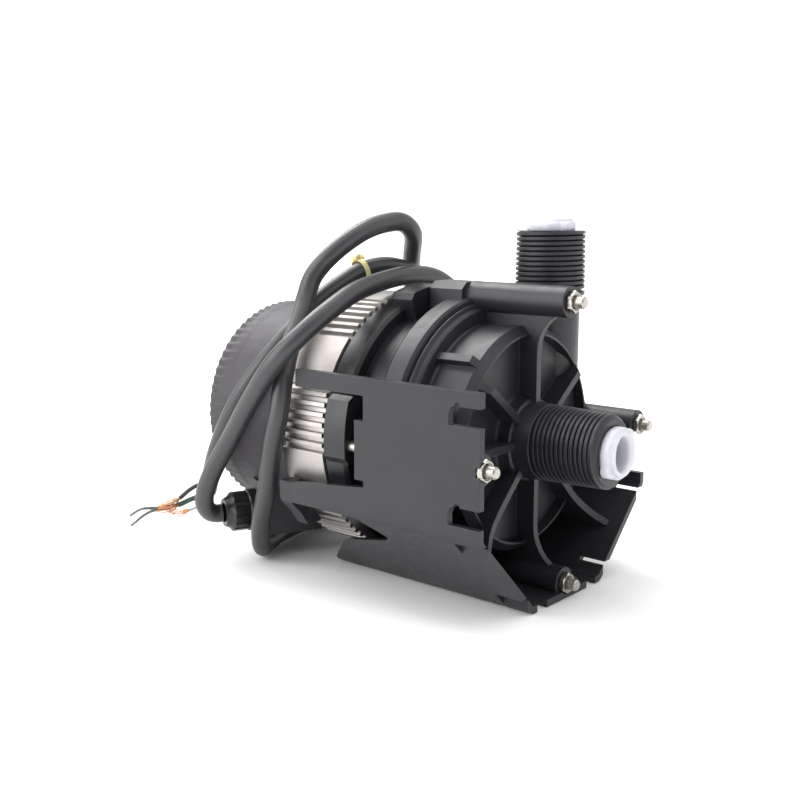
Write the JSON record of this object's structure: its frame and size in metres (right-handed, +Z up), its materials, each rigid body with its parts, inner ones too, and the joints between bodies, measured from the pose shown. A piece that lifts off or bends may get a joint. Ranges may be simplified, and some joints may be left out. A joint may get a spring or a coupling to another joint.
{
  "type": "spa circulation pump",
  "caption": "Circulation pump with a canned motor: black front moulding with threaded suction and discharge ports and flat slotted mounting faces, finned aluminium shell, rear cap and grey lead.",
  "frame": {"origin": "centre of the flat base face, on the surface the pump stands on", "axes": "+Y back along the pump's axis, away from the suction port; +Z up, along the discharge port; +X to the right seen from the front. The pump's axis is at Z 0.0662"},
  "size_m": [0.1607, 0.2156, 0.1623],
  "materials": {
    "black_moulding": "satin glass-filled plastic",
    "black_cap": "matt plastic",
    "gland_plastic": "satin nylon",
    "aluminium": "bare extruded and turned",
    "white_plug": "translucent white polyethylene",
    "zinc_steel": "bright zinc plated",
    "grey_cord_jacket": "smooth satin jacket",
    "black_wire": "satin insulation",
    "white_wire": "satin insulation",
    "green_wire": "satin insulation",
    "copper": "bare copper",
    "yellow_tie": "nylon",
    "impeller_plastic": "natural moulded plastic",
    "magnet_ferrite": "ground ferrite",
    "white_ceramic": "polished ceramic",
    "bearing_carbon": "machined carbon",
    "can_steel": "drawn stainless steel",
    "seal_rubber": "smooth rubber",
    "stator_steel": "stacked laminations",
    "capacitor_case": "moulded case",
    "terminal_plastic": "moulded plastic"
  },
  "bodies": {
    "pump": {"pump_casing": "black_moulding", "motor_flange": "black_moulding", "rear_cap": "black_cap", "motor_shell": "aluminium", "hex_nut_right": "zinc_steel", "hex_nut_top": "zinc_steel", "hex_nut_left": "zinc_steel", "hex_nut_bottom": "zinc_steel", "through_bolt_right": "zinc_steel", "through_bolt_top": "zinc_steel", "through_bolt_left": "zinc_steel", "through_bolt_bottom": "zinc_steel", "gland_body": "gland_plastic", "gland_nut": "gland_plastic", "power_cord": "grey_cord_jacket", "line_wire": "black_wire", "neutral_wire": "white_wire", "ground_wire": "green_wire", "line_core": "copper", "neutral_core": "copper", "ground_core": "copper", "cable_tie": "yellow_tie", "shaft_support": "impeller_plastic", "shaft": "white_ceramic", "thrust_washer": "white_ceramic", "separation_can": "can_steel", "casing_o_ring": "seal_rubber", "stator_core": "stator_steel", "stator_coil_1": "copper", "stator_coil_2": "copper", "stator_coil_3": "copper", "stator_coil_4": "copper", "stator_coil_5": "copper", "stator_coil_6": "copper", "run_capacitor": "capacitor_case", "capacitor_holder": "terminal_plastic", "terminal_block": "terminal_plastic"},
    "rotor": {"impeller": "impeller_plastic", "impeller_shroud": "impeller_plastic", "rotor_magnet": "magnet_ferrite", "shaft_bushing": "bearing_carbon"},
    "suction_plug": {"suction_plug": "white_plug"},
    "discharge_plug": {"discharge_plug": "white_plug"}
  },
  "joints": [
    {"name": "rotor_spin", "type": "hinge", "parent": "pump", "child": "rotor", "pos_m": [0, 0.04, 0.0662], "axis": [0, 1, 0], "continuous": true},
    {"name": "suction_plug_pull", "type": "slide", "parent": "pump", "child": "suction_plug", "axis": [0, -1, 0], "range_m": [0, 0.015]},
    {"name": "discharge_plug_pull", "type": "slide", "parent": "pump", "child": "discharge_plug", "axis": [0, 0, 1], "range_m": [0, 0.015]}
  ]
}
